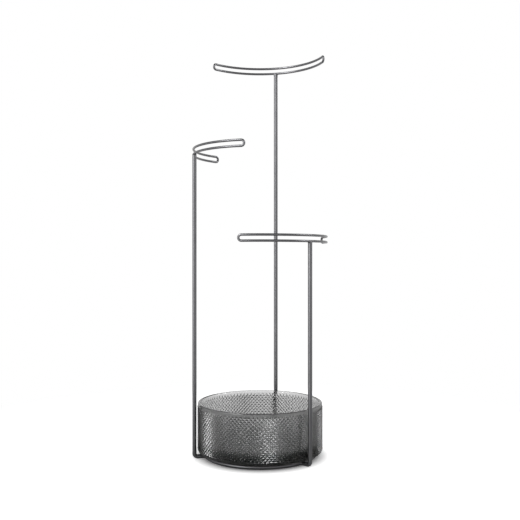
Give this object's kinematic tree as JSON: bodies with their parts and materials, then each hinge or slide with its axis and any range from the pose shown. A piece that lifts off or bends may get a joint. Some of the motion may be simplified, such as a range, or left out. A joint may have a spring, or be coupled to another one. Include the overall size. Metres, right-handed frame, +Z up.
{
  "type": "jewelry stand",
  "caption": "Tiered jewelry stand: upright rods of different heights on a base ring, each with a curved double-rail arm, around a round pressed glass dish.",
  "frame": {"origin": "on the table, on the axis of the base ring", "axes": "+Z up; +Y towards the tall stem at the back; seen from the front (from -Y) the middle stem is at the left and the low stem at the right"},
  "size_m": [0.1464, 0.1475, 0.4383],
  "materials": {
    "gunmetal_frame": "satin gunmetal plating on bent steel rod and wire",
    "smoked_glass": "smoke grey pressed glass, fire-polished, with a raised diamond pattern outside"
  },
  "bodies": {
    "root": {"base_ring": "gunmetal_frame", "tall_stem": "gunmetal_frame", "middle_stem": "gunmetal_frame", "low_stem": "gunmetal_frame", "tall_arm": "gunmetal_frame", "middle_arm": "gunmetal_frame", "low_arm": "gunmetal_frame", "glass_dish": "smoked_glass"}
  },
  "joints": []
}
